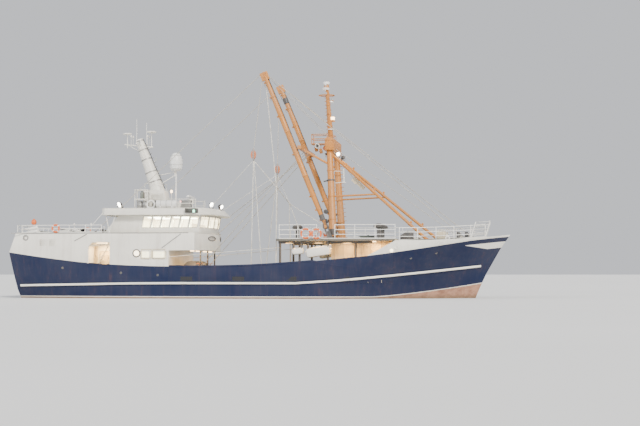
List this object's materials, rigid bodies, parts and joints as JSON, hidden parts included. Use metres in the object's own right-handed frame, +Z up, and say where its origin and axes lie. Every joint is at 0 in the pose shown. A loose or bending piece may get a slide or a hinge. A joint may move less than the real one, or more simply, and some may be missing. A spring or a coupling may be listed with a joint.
{
  "type": "fishing trawler",
  "caption": "Steel fishing trawler with an aft wheelhouse, a gantry forward and two tall booms that swing out over the sides.",
  "frame": {"origin": "on the centreline amidships, at the waterline that the vessel floats to", "axes": "+X to the bow, along its greatest length, +Y to port, +Z up"},
  "size_m": [34.7229, 8.2272, 18.8228],
  "materials": {
    "navy_paint": "semi-gloss topside paint, weathered",
    "white_paint": "semi-gloss white paint with rust runs",
    "cream_paint": "cream paint, worn",
    "buff_paint": "buff orange paint, worn",
    "bottom_paint": "matt antifouling",
    "deck_paint": "matt deck paint",
    "dark_paint": "dark machinery paint, worn",
    "orange_paint": "orange red paint, worn",
    "worn_steel": "bare steel, worn and rusty",
    "bronze": "polished bronze",
    "white_plastic": "moulded white plastic",
    "window_glass": "clear window glass",
    "wire_rope": "galvanised wire rope",
    "fibre_rope": "twisted fibre rope",
    "lamp_lens": "lit lamp lens",
    "buoy_orange": "orange lifebuoy cover",
    "rubber": "black rubber"
  },
  "bodies": {
    "root": {"hull": "navy_paint", "bulwark_starboard": "navy_paint", "bulwark_port": "navy_paint", "forecastle": "white_paint", "belting_starboard": "white_paint", "belting_port": "white_paint", "keel_fin": "bottom_paint", "deckhouse": "white_paint", "wheelhouse_side_starboard": "white_paint", "wheelhouse_side_port": "white_paint", "wheelhouse_front": "white_paint", "wheelhouse_aft": "white_paint", "wheelhouse_roof": "white_paint", "helm_console": "dark_paint", "mast_aft": "white_paint", "radome": "white_plastic", "liferaft": "white_plastic", "winch_frame": "dark_paint", "hatch_coaming": "white_paint", "shelter_deck": "cream_paint", "pillars_starboard": "dark_paint", "pillars_port": "dark_paint", "store_house": "cream_paint", "gantry_leg_starboard": "buff_paint", "gantry_leg_port": "buff_paint", "gantry_head": "buff_paint", "boom_rest": "buff_paint", "lookout": "buff_paint", "pole_mast": "buff_paint", "gantry_strut_starboard": "buff_paint", "gantry_strut_port": "buff_paint", "boom_step_starboard": "dark_paint", "boom_step_port": "dark_paint", "rail_quarter_starboard": "white_paint", "rail_quarter_port": "white_paint", "rail_stern": "white_paint", "rail_waist_starboard": "white_paint", "rail_waist_port": "white_paint", "rail_bow_starboard": "white_paint", "rail_bow_port": "white_paint", "windlass": "worn_steel", "foredeck_locker": "dark_paint", "bitts_starboard": "dark_paint", "bitts_port": "dark_paint", "fore_stay_starboard": "wire_rope", "fore_stay_port": "wire_rope"},
    "propeller": {"propeller": "bronze"},
    "rudder": {"rudder": "bottom_paint"},
    "radar_scanner": {"radar_scanner": "white_plastic"},
    "winch_drum_starboard": {"winch_drum_starboard": "worn_steel"},
    "winch_drum_port": {"winch_drum_port": "worn_steel"},
    "boom_starboard": {"boom_starboard": "buff_paint", "block_starboard": "orange_paint"},
    "boom_port": {"boom_port": "buff_paint", "block_port": "orange_paint"},
    "hatch_lid": {"hatch_lid": "deck_paint"},
    "wheelhouse_door": {"wheelhouse_door": "white_paint"},
    "passage_door_starboard": {"passage_door_starboard": "cream_paint"},
    "passage_door_port": {"passage_door_port": "cream_paint"},
    "store_door": {"store_door": "cream_paint"}
  },
  "joints": [
    {"name": "boom_starboard_swing", "type": "hinge", "parent": "root", "child": "boom_starboard", "pos_m": [5.13, -3.4, 4.9], "axis": [0.9272, 0, 0.3746], "range_deg": [0, 65]},
    {"name": "boom_port_swing", "type": "hinge", "parent": "root", "child": "boom_port", "pos_m": [5.13, 3.4, 4.9], "axis": [-0.9272, 0, -0.3746], "range_deg": [0, 65]},
    {"name": "rudder_turn", "type": "hinge", "parent": "root", "child": "rudder", "pos_m": [-14.9, 0, -2], "axis": [0, 0, 1], "range_deg": [-35, 35]},
    {"name": "propeller_spin", "type": "hinge", "parent": "root", "child": "propeller", "pos_m": [-13.7, 0, -1.95], "axis": [1, 0, 0], "continuous": true},
    {"name": "radar_spin", "type": "hinge", "parent": "root", "child": "radar_scanner", "pos_m": [-4.8, -0.9, 7.1], "axis": [0, 0, 1], "continuous": true},
    {"name": "winch_starboard_spin", "type": "hinge", "parent": "root", "child": "winch_drum_starboard", "pos_m": [-4.55, -1.1, 1.98], "axis": [0, 1, 0], "continuous": true},
    {"name": "winch_port_spin", "type": "hinge", "parent": "root", "child": "winch_drum_port", "pos_m": [-4.55, 1.1, 1.98], "axis": [0, 1, 0], "continuous": true},
    {"name": "hatch_lid_swing", "type": "hinge", "parent": "root", "child": "hatch_lid", "pos_m": [0.62, 0, 1.735], "axis": [0, 1, 0], "range_deg": [0, 95]},
    {"name": "wheelhouse_door_swing", "type": "hinge", "parent": "root", "child": "wheelhouse_door", "pos_m": [-8.86, 0.42, 4.85], "axis": [0, 0, -1], "range_deg": [0, 100]},
    {"name": "passage_door_starboard_swing", "type": "hinge", "parent": "root", "child": "passage_door_starboard", "pos_m": [-10.92, -2.44, 2.3], "axis": [0, 0, -1], "range_deg": [0, 100]},
    {"name": "passage_door_port_swing", "type": "hinge", "parent": "root", "child": "passage_door_port", "pos_m": [-10.23, 2.44, 2.3], "axis": [0, 0, -1], "range_deg": [0, 100]},
    {"name": "store_door_swing", "type": "hinge", "parent": "root", "child": "store_door", "pos_m": [5.34, -0.7, 2.2], "axis": [0, 0, -1], "range_deg": [0, 100]}
  ]
}
